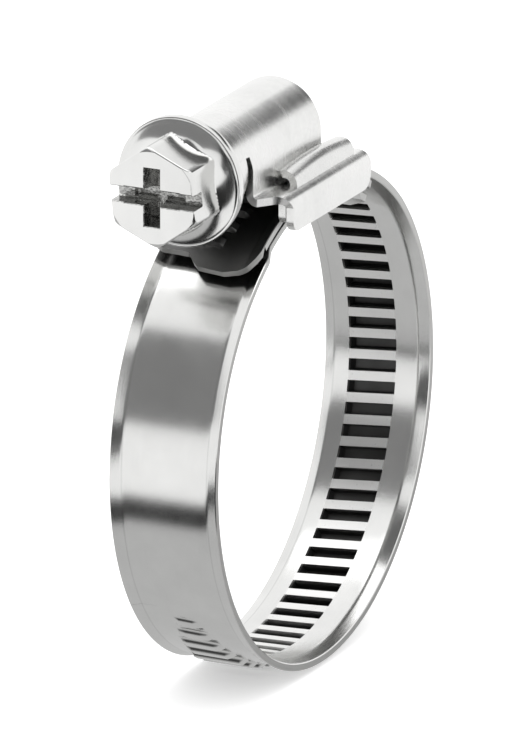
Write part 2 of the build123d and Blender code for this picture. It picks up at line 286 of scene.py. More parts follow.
# ---------------------------------------------------------------- steel finishes
def steel(name, colour, rough, grain, bump, uv=False, wear=0.0, spots=0.0, hollows=0.0, dents=0.02):
    """Stainless steel: grain drawn out one way, cloudy roughness, small specks and wear. Given a shade
    amount, it darkens by painted shade read from the band's hollow attribute and paints a dark shade line
    along the band's creases.
    """
    material = bpy.data.materials.new(name)
    material.use_nodes = True
    tree = Tree(material.node_tree)
    material.node_tree.nodes.clear()
    place = tree.add("ShaderNodeTexCoord", {}, output=2 if uv else 3)
    drawn = tree.add("ShaderNodeMapping", {}, place, Scale=grain)
    lines = tree.add("ShaderNodeTexNoise", {}, drawn, Scale=1.0, Detail=4.0, Roughness=0.6)
    size = 1.0 if uv else 1000.0
    cloud = tree.add("ShaderNodeTexNoise", {}, place, Scale=0.16 * size, Detail=3.0, Roughness=0.55)
    fine = tree.add("ShaderNodeTexNoise", {}, place, Scale=3.2 * size, Detail=3.0, Roughness=0.7)
    patches = tree.ramp(cloud, 0.3, 0.7)
    shade_of = 0.90 + 0.12 * patches + 0.07 * (lines - 0.5) + spots * (fine - 0.5)
    if hollows:
        # painted shade: the hollow attribute marks the band's pockets, ridge flanks and the part under the
        # screw, which are darkened here
        pressed = tree.add("ShaderNodeAttribute", {"attribute_name": "hollow"}, output=2)
        shade_share = tree.step(pressed, 0.15, 0.95)
        shade_of = shade_of * (1.0 - hollows * shade_share * (0.95 + 0.2 * (cloud - 0.5)))
        bars = tree.add("ShaderNodeAttribute", {"attribute_name": "rubbed"}, output=2)
        # a thin dark line of painted shade along the creases of the band's raised edges
        line = tree.add("ShaderNodeAttribute", {"attribute_name": "crease"}, output=2)
        scuffs = bars * tree.step(fine, 0.58, 0.8)
        shade_of = shade_of * (1.0 + 0.14 * bars - 0.3 * scuffs - 0.12 * line)
    tone = tree.add("ShaderNodeCombineXYZ", {}, shade_of, shade_of, shade_of)
    base = tree.add("ShaderNodeVectorMath", {"operation": "MULTIPLY"}, tone, colour)
    roughness = rough + 0.22 * rough * (patches - 0.5) + 0.5 * rough * (lines - 0.5)
    roughness = (roughness + wear * tree.step(fine, 0.52, 0.75)).at_least(0.05)
    if hollows:
        roughness = roughness + 0.16 * bars + 0.25 * shade_share
    height = lines + 0.35 * fine
    relief = tree.make("ShaderNodeBump", {}, Strength=bump, Distance=dents * MM, Height=height)
    surface = tree.make(
        "ShaderNodeBsdfPrincipled",
        {},
        Base_Color=base,
        Roughness=roughness,
        Metallic=1.0,
        Normal=Value(tree, relief.outputs[0]),
    )
    tree.make("ShaderNodeOutputMaterial", {}, Value(tree, surface.outputs[0]))
    return material


# the band's steel is darkened by its painted shade at 0.96
BAND_STEEL = steel(
    "band_strip", (0.74, 0.74, 0.73), 0.17, (0.35, 26.0, 26.0), 0.10, uv=True, spots=0.03, hollows=0.96
)
EDGE_STEEL = steel(
    "slit_edge", (0.50, 0.50, 0.49), 0.36, (14.0, 2.0, 2.0), 0.35, uv=True, wear=0.15, spots=0.12
)
SATIN_STEEL = steel("satin_sheet", (0.77, 0.77, 0.76), 0.25, (2600.0, 170.0, 170.0), 0.10, spots=0.12)
PRESSED_STEEL = steel(
    "pressed_fold", (0.72, 0.72, 0.71), 0.24, (500.0, 1500.0, 1500.0), 0.14, wear=0.08, spots=0.14
)
SCREW_STEEL = steel("formed_screw", (0.76, 0.76, 0.75), 0.16, (900.0, 700.0, 700.0), 0.06, spots=0.03)
# the recess steel is darker than the head's: painted shade in the slot and cross recess
RECESS_SHADE_STEEL = steel(
    "struck_recess", (0.46, 0.46, 0.45), 0.12, (700.0, 1300.0, 1300.0), 1.0,
    wear=0.1, spots=1.5, dents=0.10,
)
# the worm's steel is painted near black as shade, since it lies in the barrel's shadow
WORM_SHADE_STEEL = steel("oiled_worm", (0.16, 0.16, 0.155), 0.22, (900.0, 700.0, 700.0), 0.06, spots=0.03)


# ---------------------------------------------------------------- band
EDGE_BLEND = 0.05
# painted shadow on the ridges' flanks
FLANK_SHADOW = 3.6
# painted shade on the band under the screw and housing: how dark, where it starts and ends on the left arc,
# and where it starts on the free end
UNDER_SCREW_SHADE = 0.78
UNDER_SCREW_SHADE_FROM = radians(10.0), radians(17.0)
UNDER_SCREW_SHADE_TO = radians(30.5), radians(35.0)
UNDER_SCREW_SHADE_TOP = radians(366.0), radians(372.0)


def band_tree():
    """Raises the pressed thread on a straight strip laid along X, then bends the strip round the ring."""
    names = [
        "Pitch", "Ridge middle", "Ridge length", "Ridge height", "Ridge foot", "Ridge top",
        "Pocket mouth", "Pocket floor", "Pocket depth", "Slant", "First ridge", "Last ridge",
        "Growth length", "Left radius", "Join angle", "Wide rise", "Wide length", "Top radius", "Top angle",
        "Raise", "Raise start", "Raise end", "Raise ramp",
    ]
    tree, geometry, size = geometry_tree("pressed band", names)
    position = tree.add("GeometryNodeInputPosition")
    split = tree.make("ShaderNodeSeparateXYZ", {}, position)
    along, across, up = (Value(tree, split.outputs[i]) for i in range(3))
    outer = tree.add("GeometryNodeInputNamedAttribute", {"data_type": "FLOAT"}, "outer")
    # pressed thread
    from_middle = across - size["Ridge middle"]
    half = size["Ridge length"] * 0.5
    lean = from_middle.at_least(-half).at_most(half) * size["Slant"]
    station = along - lean
    phase = abs((station % size["Pitch"]) - size["Pitch"] * 0.5)
    number = station - (station % size["Pitch"])
    full_from = size["First ridge"] + size["Growth length"]
    full_to = size["Last ridge"] - 3.0 * size["Pitch"]
    grown = tree.ramp(number, size["First ridge"], full_from, FIRST_SIZE, 1.0)
    grown = grown * tree.ramp(number, full_to, size["Last ridge"], 1.0, LAST_SIZE)
    started = (number > size["First ridge"] - 0.01 * MM) * (number < size["Last ridge"])
    reach = half * grown
    end_gap = reach - abs(from_middle)
    body = tree.ramp(phase, size["Ridge foot"] * 0.5, size["Ridge top"] * 0.5)
    ends = tree.ramp(end_gap, 0.0, RIDGE_END * MM)
    ridge = size["Ridge height"] * grown * started * body * ends
    mouth = tree.ramp(phase, size["Pocket mouth"] * 0.5, size["Pocket floor"] * 0.5)
    pocket_ends = tree.ramp(end_gap, POCKET_END[0] * MM, POCKET_END[1] * MM)
    pocket = size["Pocket depth"] * grown * started * mouth * pocket_ends
    height = up + outer * ridge + (1.0 - outer) * pocket
    # bend: left arc, wide right arc, free end over the fixed end
    left_angle = size["Join angle"] + along / size["Left radius"]
    step_up = size["Raise start"] - size["Raise ramp"]
    step_down = size["Raise end"] + size["Raise ramp"]
    rise_in = tree.step(left_angle, step_up, size["Raise start"])
    rise_out = tree.step(left_angle, size["Raise end"], step_down, 1.0, 0.0)
    left_r = size["Left radius"] + size["Raise"] * rise_in * rise_out
    wide_r = size["Left radius"] + size["Wide rise"]
    wide_angle = size["Join angle"] + along / wide_r
    past = along - size["Wide length"]
    top_angle = size["Top angle"] + past / size["Top radius"]
    on_wide = (along > 0.0) * (past < 0.0)
    on_top = past > 0.0
    on_left = 1.0 - on_wide - on_top
    angle = on_left * left_angle + on_wide * wide_angle + on_top * top_angle
    radius = on_left * left_r + on_wide * wide_r + on_top * size["Top radius"] + height
    shift = on_wide * size["Wide rise"]
    join_sin, join_cos = size["Join angle"].sin(), size["Join angle"].cos()
    x = shift * join_sin - radius * angle.sin()
    z = radius * angle.cos() - shift * join_cos
    bent = tree.add("ShaderNodeCombineXYZ", {}, x, across, z)
    # painted shade in the pockets, painted shadow along the ridges' flanks, and painted shade on the band
    # where it runs under the screw and housing
    pocket_edge = size["Pocket mouth"] * 0.5
    inside = tree.ramp(phase, pocket_edge, pocket_edge - EDGE_BLEND * MM)
    inside_ends = tree.ramp(end_gap, POCKET_END[0] * MM - 0.02 * MM, POCKET_END[0] * MM + 0.06 * MM)
    # painted shade in the pockets: their floors are the same steel, darkened where shade falls
    hollow = (1.0 - outer) * inside * inside_ends * started
    # painted shadow on the ridges' flanks, darkest halfway up each flank
    flank_shadow = outer * started * body * (1.0 - body) * ends * FLANK_SHADOW
    # painted shade on the fixed end under the housing and on the free end under the screw
    under_screw_shade = on_left * tree.step(left_angle, *UNDER_SCREW_SHADE_FROM)
    under_screw_shade = under_screw_shade * tree.step(left_angle, *UNDER_SCREW_SHADE_TO, UNDER_SCREW_SHADE, 0.0)
    under_screw_shade = under_screw_shade + on_top * tree.step(top_angle, *UNDER_SCREW_SHADE_TOP, 0.0, UNDER_SCREW_SHADE)
    # the pockets' painted shade, the flanks' painted shadow and the painted shade under the screw are
    # stored together as the hollow attribute
    marked = tree.make(
        "GeometryNodeStoreNamedAttribute",
        {"data_type": "FLOAT", "domain": "POINT"},
        geometry,
        Name="hollow",
        Value=hollow + flank_shadow + under_screw_shade,
    )
    rubbed = (1.0 - outer) * (1.0 - inside) * inside_ends * started
    worn = tree.make(
        "GeometryNodeStoreNamedAttribute",
        {"data_type": "FLOAT", "domain": "POINT"},
        Value(tree, marked.outputs[0]),
        Name="rubbed",
        Value=rubbed,
    )
    moved = tree.add("GeometryNodeSetPosition", {}, Value(tree, worn.outputs[0]), Position=bent)
    real = tree.add("GeometryNodeRealizeInstances", {}, moved)
    edge = tree.add("GeometryNodeInputNamedAttribute", {"data_type": "FLOAT"}, "slit")
    plain = tree.add("GeometryNodeSetMaterial", {}, real, Material=BAND_STEEL)
    both = tree.add("GeometryNodeSetMaterial", {}, plain, edge > 0.5, EDGE_STEEL)
    tree.make("NodeGroupOutput", {}, both)
    return tree.tree


BAND_TREE = band_tree()
SLANT = -0.0875  # the ridges lean as the screw's thread does
FIRST_RIDGE = -9 * PITCH
TAIL_DEG = 398.0  # the free end's tip
PLAIN_TIP = 2.2
LAST_RIDGE = WIDE_LONG + (radians(TAIL_DEG) - TOP_A) * TOP_R - PLAIN_TIP
BAND_SIZES = {
    "Pitch": PITCH * MM, "Ridge middle": RIDGE_Y * MM, "Ridge length": RIDGE_L * MM,
    "Ridge height": RIDGE_H * MM, "Ridge foot": RIDGE_FOOT * MM, "Ridge top": RIDGE_TOP * MM,
    "Pocket mouth": POCKET_MOUTH * MM, "Pocket floor": POCKET_FLOOR * MM, "Pocket depth": POCKET_DEPTH * MM,
    "Slant": SLANT, "First ridge": FIRST_RIDGE * MM, "Last ridge": LAST_RIDGE * MM,
    "Growth length": 4 * PITCH * MM,
    "Left radius": MID_R * MM, "Join angle": JOIN, "Wide rise": WIDE_RISE * MM,
    "Wide length": WIDE_LONG * MM, "Top radius": TOP_R * MM, "Top angle": TOP_A,
    "Raise": RAISED * MM, "Raise start": radians(-25.5), "Raise end": radians(28.5),
    "Raise ramp": radians(2.6),
}


def stations(low, high):
    """Places along the strip between two distances: even on the plain part, at each edge on the thread."""
    widths = (RIDGE_FOOT, POCKET_MOUTH, POCKET_MOUTH - 0.08, POCKET_FLOOR, RIDGE_TOP)
    half = [w / (2 * PITCH) for w in widths]
    edges = [-0.5, -0.43] + [-h for h in half] + [-0.09, 0.0, 0.09] + half[::-1] + [0.43]
    found = [low, high]
    k = int(np.floor(low / PITCH)) - 1
    while k * PITCH < high + PITCH:
        middle = (k + 0.5) * PITCH
        plain = middle < FIRST_RIDGE - PITCH
        found += [middle + e * PITCH for e in (np.arange(-0.5, 0.5, 0.125) if plain else edges)]
        k += 1
    found = sorted(f for f in found if low <= f <= high)
    return [f for i, f in enumerate(found) if i == 0 or f - found[i - 1] > 0.01 or f == high]


def ridge_stations():
    """Places across the strip: at the ridges' end slopes, the creases and the raised edges."""
    half = RIDGE_L / 2
    cuts = [half, half - 0.1, half - 0.22, half - 0.32, half - 0.42, half - 0.5, half - 0.9, 1.1, 0.55]
    inner = [RIDGE_Y + side * c for c in cuts for side in (-1, 1)] + [RIDGE_Y]
    crease = [BAND_HALF - FLARE_W + d for d in (-0.5, -0.2, -0.1, 0.0, 0.1, 0.2)]
    edge = [BAND_HALF - 0.08, BAND_HALF - 0.3]
    outer = [side * c for c in crease + edge for side in (-1, 1)]
    return sorted(inner + outer)


def flare(y, amount=1.0):
    """How far the band's raised edge stands out at one place across it."""
    over = abs(y) - (BAND_HALF - FLARE_W)
    if over <= -0.2:
        return 0.0
    if over < 0.2:
        return amount * FLARE_H / FLARE_W * (over + 0.2) ** 2 / 0.8
    return amount * FLARE_H * over / FLARE_W


def strip(name, low, high, tip=None, narrow=None):
    """A straight closed strip along X from low to high. tip gives the end's place across the strip."""
    ys = ridge_stations()
    lip = 0.06
    loop = [(-BAND_HALF, lip, 0, 1), (-BAND_HALF + lip, 0, 0, 0)]
    loop += [(y, 0, 0, 0) for y in ys]
    loop += [(BAND_HALF - lip, 0, 0, 0), (BAND_HALF, lip, 0, 1), (BAND_HALF, SHEET - lip, 1, 1)]
    loop += [(BAND_HALF - lip, SHEET, 1, 0)] + [(y, SHEET, 1, 0) for y in reversed(ys)]
    loop += [(-BAND_HALF + lip, SHEET, 1, 0), (-BAND_HALF, SHEET - lip, 1, 1)]
    places = stations(low, high)
    count = len(loop)
    points, outer, lay, crease = [], [], [], []
    for s in places:
        for y, z, side, _ in loop:
            width = 1.0 if narrow is None else narrow(s)
            spread = max(-RIDGE_L / 2, min(RIDGE_L / 2, y - RIDGE_Y))
            lean = SLANT * spread * (1.0 if s > FIRST_RIDGE - 0.5 * PITCH else 0.0)
            x = s + lean
            if tip is not None:
                x = tip(x, y)
            lift = flare(y, 1.0 if width > 0.99 else 0.0)
            points.append((x, y * width, z - SHEET / 2 + lift))
            outer.append(float(side))
            # the crease attribute marks where a dark line of painted shade is drawn
            crease.append(1.0 if abs(abs(y) - BAND_HALF + FLARE_W) < 0.01 else 0.0)
            lay.append((x, y + 20.0 * side))
    faces, slit = [], []
    for i in range(len(places) - 1):
        for j in range(count):
            a, b = i * count + j, i * count + (j + 1) % count
            faces.append((a, b, b + count, a + count))
            slit.append(1.0 if loop[j][3] and loop[(j + 1) % count][3] else 0.0)
    first, last = 0, (len(places) - 1) * count
    for j in range(1, count // 2 - 1):
        k = count - j
        faces.append((first + j, first + k % count, first + (k - 1) % count, first + j + 1))
        faces.append((last + j, last + j + 1, last + (k - 1) % count, last + k % count))
        slit += [1.0, 1.0]
    made = mesh_object(name, points, faces)
    mesh = made.data
    if len(mesh.polygons) != len(faces):
        raise RuntimeError(f"{name}: the strip lost faces")
    mesh.attributes.new("outer", "FLOAT", "POINT").data.foreach_set("value", outer)
    mesh.attributes.new("crease", "FLOAT", "POINT").data.foreach_set("value", crease)
    mesh.attributes.new("slit", "FLOAT", "FACE").data.foreach_set("value", slit)
    uv = mesh.uv_layers.new(name="lay")
    for loop_item in mesh.loops:
        uv.data[loop_item.index].uv = lay[loop_item.vertex_index]
    return made


def left_place(angle):
    """Distance along the strip for an angle on the left arc."""
    return (radians(angle) - JOIN) * MID_R


def top_place(angle):
    """Distance along the strip for an angle on the free end's arc."""
    return WIDE_LONG + (radians(angle) - TOP_A) * TOP_R


def at_place(s):
    """The point in the frame, in metres, for a distance along the strip."""
    if s <= 0:
        a = JOIN + s / MID_R
        x, z = -MID_R * sin(a), MID_R * cos(a)
    elif s < WIDE_LONG:
        a = JOIN + s / WIDE_R
        x, z = WIDE_X - WIDE_R * sin(a), WIDE_Z + WIDE_R * cos(a)
    else:
        a = TOP_A + (s - WIDE_LONG) / TOP_R
        x, z = -TOP_R * sin(a), TOP_R * cos(a)
    return Vector((x, 0, z)) * MM


TAIL_END = top_place(TAIL_DEG)
TONGUE_LOW = left_place(-36.0)
TONGUE_HIGH = left_place(-26.5)
TIP_L = 3.6
TIP_CORNER = 2.6
TIP_FAR_CORNER = 0.7
TIP_STEP = 1.1
TIP_STEP_Y = 0.9
TIP_STEP_SOFT = 0.12
TONGUE_TIP = 1.5


def corner_back(side, corner):
    """How far a rounded corner draws the end back, at a distance in from the strip's side."""
    if side > corner:
        return 0.0
    return corner - sqrt(max(corner**2 - (corner - side) ** 2, 0.0))


def tail_tip(x, y):
    """The free end is rounded at the near corner and stepped back over the far half."""
    start = TAIL_END - TIP_L
    if x <= start:
        return x
    back = corner_back(y + BAND_HALF, TIP_CORNER)
    back += TIP_STEP / (1.0 + np.exp(-(y - TIP_STEP_Y) / TIP_STEP_SOFT))
    back += corner_back(BAND_HALF - y, TIP_FAR_CORNER)
    return start + (x - start) * (TIP_L - back) / TIP_L


def tongue_width(s):
    """The tongue is narrower than the band, with its tip's corners cut off."""
    if s > TONGUE_HIGH:
        return 1.0
    full = (BAND_HALF - FLARE_W) / BAND_HALF
    return full - 0.42 * max(0.0, TONGUE_TIP - (s - TONGUE_LOW)) / TONGUE_TIP


bends = [left_place(45.0), left_place(111.5), 0.0, LINKS * PITCH, WIDE_LONG]
middles = [(low + high) / 2 for low, high in zip(bends, bends[1:])]
seams = [TONGUE_LOW] + [PITCH * round(middle / PITCH) for middle in middles] + [TAIL_END]
spans = [
    ("band_left_upper", "housing", "band_link_1", ["band_fixed_end"]),
    ("band_left_lower", "band_link_1", "band_link_2", ["band_link_1"]),
    ("band_bottom", "band_link_2", "band_link_3", ["band_link_2"]),
    ("band_right", "band_link_3", "band_link_4", ["band_link_3"]),
    ("band_tail", "band_link_4", "band_free_end", ["band_link_4", "band_free_end"]),
]
TIPS = {"band_tail": tail_tip}
WIDTHS = {"band_left_upper": tongue_width}
REACHES = {"band_left_upper": 6.0, "band_tail": 5.6}
MOST_REACH = 9.0
for i, (name, body_a, body_b, nodes) in enumerate(spans):
    flat = strip(name + "_flat", seams[i], seams[i + 1], TIPS.get(name), WIDTHS.get(name))
    piece = run_tree(flat, BAND_TREE, BAND_SIZES, name)
    shade(piece, 24.0)
    room = min(bends[i] - seams[i], seams[i + 1] - bends[i], MOST_REACH)
    reach = REACHES.get(name, room * 0.96)
    start, end = at_place(bends[i] - reach), at_place(bends[i] + reach)
    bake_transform(piece)
    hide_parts(*nodes)


# ---------------------------------------------------------------- screw
HEX_FLAT = 3.5
HEX_CORNER = 4.0
HEX_TURN = radians(24.0)
FACE_R = 3.72
FACE_X = SCREW[0].x
CHAMFER = radians(30.0)
CHAMFER_END = 0.6
FLANGE_X = -15.4
FLANGE_R = 5.15
FLANGE_BACK = -14.5
COVE = 1.5  # length of the hollow curve from hexagon to flange
COVE_SINK = 0.25  # the curve starts this far under the hexagon's flats
DISH = radians(62.0)  # how far round its arc the hollow curve goes
CORE_R = 2.45
PILOT_R = 2.2
THREAD_FLANK = tan(radians(20.0))
THREAD_CREST = 0.125
SLOT_W = 1.2
SLOT_D = 1.5
CROSS_W = 1.3
CROSS_L = 4.6
CROSS_D = 2.1


def soft_min(a, b, soft):
    """The smaller of two numbers, with the corner where they cross rounded off."""
    h = max(soft - abs(a - b), 0.0) / soft
    return min(a, b) - h * h * soft * 0.25


def lathe(name, profiles, around):
    """A closed body round the screw's axis. profiles(angle) gives (x, r) from end to end of the axis."""
    points, faces = [], []
    rows = [profiles(2 * pi * j / around) for j in range(around)]
    count = len(rows[0])
    for j, row in enumerate(rows):
        turn = 2 * pi * j / around
        points += [(x, AXIS.y + r * cos(turn), AXIS.z + r * sin(turn)) for x, r in row]
    for j in range(around):
        k = (j + 1) % around
        for i in range(count - 1):
            faces.append((j * count + i, j * count + i + 1, k * count + i + 1, k * count + i))
    return mesh_object(name, points, faces)


def head_profile(turn):
    """Face, chamfer, hexagon, hollow curve, flange and its rim, seen at one angle."""
    from_flat = (turn - HEX_TURN) % (pi / 3) - pi / 6
    side = soft_min(HEX_FLAT / cos(from_flat), HEX_CORNER, 0.16)
    edge = min(FACE_R, side) - 0.1
    row = [(FACE_X, 0.0)] + [(FACE_X, edge * t) for t in (0.2, 0.4, 0.6, 0.8, 0.9, 0.97, 1.0)]
    for d in (0.012, 0.035, 0.07, 0.12, 0.2, 0.3, 0.42, CHAMFER_END):
        row.append((FACE_X + d, soft_min(side, edge + 0.1 + (d - 0.05) / tan(CHAMFER), 0.18)))
    start = FLANGE_X - COVE
    hex_x = FACE_X + CHAMFER_END
    row += [(hex_x + (start - hex_x) * t, side) for t in (0.25, 0.5, 0.75, 1.0)]
    spread = FLANGE_R + 0.05 - HEX_FLAT
    for step in range(1, 21):
        a = DISH * step / 20
        hollow = HEX_FLAT - COVE_SINK + spread * (1 - cos(a)) / (1 - cos(DISH))
        row.append((start + COVE * sin(a) / sin(DISH) * 0.98, max(hollow, side)))
    x, r = row[-1]
    row += [(x + 0.03 * t, r + (FLANGE_R - 0.16 - r) * t) for t in (0.35, 0.7, 0.95)]
    row += [(x + 0.03, FLANGE_R - 0.12), (x + 0.07, FLANGE_R - 0.03), (x + 0.16, FLANGE_R)]
    row += [(FLANGE_BACK - 0.2, FLANGE_R), (FLANGE_BACK - 0.05, FLANGE_R - 0.05)]
    row += [(FLANGE_BACK, FLANGE_R - 0.2), (FLANGE_BACK, CORE_R), (FLANGE_BACK, 0.0)]
    return row


def cutter(name, half_y, half_z, depth, narrow, lip=0.07):
    """A recess cutter from the front face, with a slight lip at its mouth and walls that draw in."""
    floor_x = depth - 0.12
    levels = [(-0.5, lip + 0.02), (0.0, lip), (lip, 0.0), (floor_x, -narrow * 0.9), (depth, -narrow - 0.1)]
    corners = ((-1, -1), (1, -1), (1, 1), (-1, 1))
    points = []
    for x, grow in levels:
        a, b = half_y + grow, half_z + grow
        points += [(FACE_X + x, AXIS.y + p * a, AXIS.z + q * b) for p, q in corners]
    faces = [(0, 1, 2, 3), tuple(len(points) - 1 - i for i in range(4))]
    for i in range(0, 4 * (len(levels) - 1), 4):
        faces += [(i + j, i + 4 + j, i + 4 + (j + 1) % 4, i + (j + 1) % 4) for j in range(4)]
    return shade(mesh_object(name, points, faces), 32.0)


head = shade(lathe("head_raw", head_profile, 240), 30.0)
head.data.materials.append(SCREW_STEEL)
tools = [
    cutter("slot_cut", 6.0, SLOT_W / 2, SLOT_D, 0.02),
    cutter("cross_cut", CROSS_W / 2, CROSS_L / 2, CROSS_D, 0.25),
    cutter("bar_cut", CROSS_L / 2, CROSS_W / 2, CROSS_D, 0.25),
]
for tool in tools:
    tool.data.materials.append(RECESS_SHADE_STEEL)
    cut = head.modifiers.new("cut", "BOOLEAN")
    cut.operation, cut.solver, cut.object = "DIFFERENCE", "EXACT", tool
    cut.material_mode = "TRANSFER"
head = bake(head, "screw_head")
for tool in tools:
    bpy.data.objects.remove(tool)
shade(head, 30.0)
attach(head, "screw")

STEP = PITCH / TOP_R
MESH_R = TOP_R + SHEET / 2 + RIDGE_H / 2
GAP_A = TOP_A + STEP * round((2 * pi - TOP_A) / STEP)
MESH_X = -MESH_R * sin(GAP_A)
LEAD = PITCH * MESH_R / TOP_R
NECK_X = FLANGE_BACK - 0.1
THREAD_START = -13.45
THREAD_END = 0.3
PILOT_END = SCREW[1].x


def worm_profile(turn):
    """Neck, worm and pilot, seen at one angle; the worm's crest moves on with the angle."""
    row = [(NECK_X, 0.0), (NECK_X, THREAD_R), (THREAD_START - 0.05, THREAD_R)]
    crest_x = MESH_X + LEAD * (turn - 1.5 * pi) / (2 * pi)
    steps = int((THREAD_END - THREAD_START) / 0.05)
    for i in range(steps + 1):
        x = THREAD_START + (THREAD_END - THREAD_START) * i / steps
        away = abs((x - crest_x + LEAD / 2) % LEAD - LEAD / 2)
        tooth = THREAD_R - soft_min(0.0, THREAD_CREST - away, 0.08) * -1 / THREAD_FLANK
        fade = min(1.0, max(0.0, (THREAD_END - x) / 0.5))
        row.append((x, CORE_R + max(0.0, min(THREAD_R, tooth) - CORE_R) * fade))
    row += [(THREAD_END + 0.4, CORE_R), (THREAD_END + 0.42, PILOT_R), (PILOT_END - 0.15, PILOT_R)]
    return row + [(PILOT_END, PILOT_R - 0.15), (PILOT_END, 0.0)]


worm = shade(lathe("screw_worm", worm_profile, 96), 30.0)
worm.data.materials.append(WORM_SHADE_STEEL)
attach(worm, "screw")
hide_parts("screw")


# ---------------------------------------------------------------- housing
EDGE_ROUND = 0.07


def sheet(name, rows, columns, material, body="housing"):
    """A bent sheet. Each row is (place(x) -> (y, z), low x, high x); the rows are joined in order."""
    thick = SHEET / 2
    top, under = [], []
    for i, (place, low, high) in enumerate(rows):
        before, after = rows[max(i - 1, 0)][0], rows[min(i + 1, len(rows) - 1)][0]
        for j in range(columns + 1):
            x = low + (high - low) * j / columns
            y, z = place(x)
            run = Vector((0, after(x)[0] - before(x)[0], after(x)[1] - before(x)[1]))
            ahead = place(x + 0.05)
            side = Vector((0.05, ahead[0] - y, ahead[1] - z))
            normal = run.cross(side).normalized() * thick
            top.append(Vector((x, y, z)) + normal)
            under.append(Vector((x, y, z)) - normal)
    wide, total = columns + 1, len(top)
    faces = []
    for i in range(len(rows) - 1):
        for j in range(columns):
            a = i * wide + j
            faces.append((a, a + 1, a + wide + 1, a + wide))
            faces.append((total + a, total + a + wide, total + a + wide + 1, total + a + 1))
    ring = list(range(wide))
    ring += [i * wide + columns for i in range(1, len(rows))]
    ring += [(len(rows) - 1) * wide + j for j in range(columns - 1, -1, -1)]
    ring += [i * wide for i in range(len(rows) - 2, 0, -1)]
    for k, a in enumerate(ring):
        b = ring[(k + 1) % len(ring)]
        faces.append((a, total + a, total + b, b))
    raw = mesh_object(name + "_raw", [tuple(v) for v in top + under], faces)
    shade(raw, 40.0)
    edges = raw.modifiers.new("edges", "BEVEL")
    edges.width = EDGE_ROUND * MM
    edges.segments = 2
    edges.limit_method = "ANGLE"
    edges.angle_limit = radians(50)
    edges.use_clamp_overlap = True
    made = shade(bake(raw, name), 35.0)
    made.data.materials.clear()
    made.data.materials.append(material)
    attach(made, body)
    return made


def fixed(y, z):
    """A straight line along X at one place."""
    return lambda x: (y, z)


def arc(centre_y, centre_z, radius, start, end, count):
    """Places on an arc in the YZ plane, angles in degrees from +Y towards +Z."""
    turns = [radians(start + (end - start) * i / count) for i in range(count + 1)]
    return [(centre_y + radius * cos(t), centre_z + radius * sin(t)) for t in turns]


FREE_OUT = TOP_R + SHEET / 2
SHOULDER_Z = FREE_OUT + FLARE_H + 0.2 + SHEET / 2
NEAR_OUT = HOUSING[0].y + SHEET / 2
NEAR_IN = -BAND_HALF - 0.15 - SHEET / 2
FAR_WALL = HOUSING[1].y - SHEET / 2
COLLAR_X = HOUSING[0].x
COLLAR_END = -11.2
SHOULDER_X = -10.4
WALL_X = -8.2
WALL_END = HOUSING[1].x - 0.03
WALL_LOW = BORE_R + 0.05
BARREL_END = 1.5
PLATE_X = 4.4
CORNER = 1.2
SLIT_RISE = 1.2  # the slit behind the collar ends this far above the screw's axis
NEAR_BEND = 0.75
NEAR_HOLLOW = 0.6
FAR_BEND = 0.3
FRONT_SLANT = 0.9


def wall_end(z, round_by=CORNER):
    """The walls' rear edge, rounded at the top and the bottom."""
    high = (z - (SHOULDER_Z + 0.3 - round_by)) / round_by
    low = (WALL_LOW + round_by - z) / round_by
    u = min(1.0, max(0.0, high, low))
    return WALL_END - round_by * (1 - sqrt(1 - u * u))


def wall_front(z, round_by=0.9):
    """The walls' front edge, rounded at the bottom."""
    u = min(1.0, max(0.0, (WALL_LOW + round_by - z) / round_by))
    return WALL_X + round_by * (1 - sqrt(1 - u * u))


def wall_levels(high_z):
    """Heights up a wall, closer together where its corners are round."""
    return [WALL_LOW + d for d in (0.0, 0.04, 0.15, 0.32, 0.55, 0.85, 1.2)] + [high_z - 0.5, high_z]


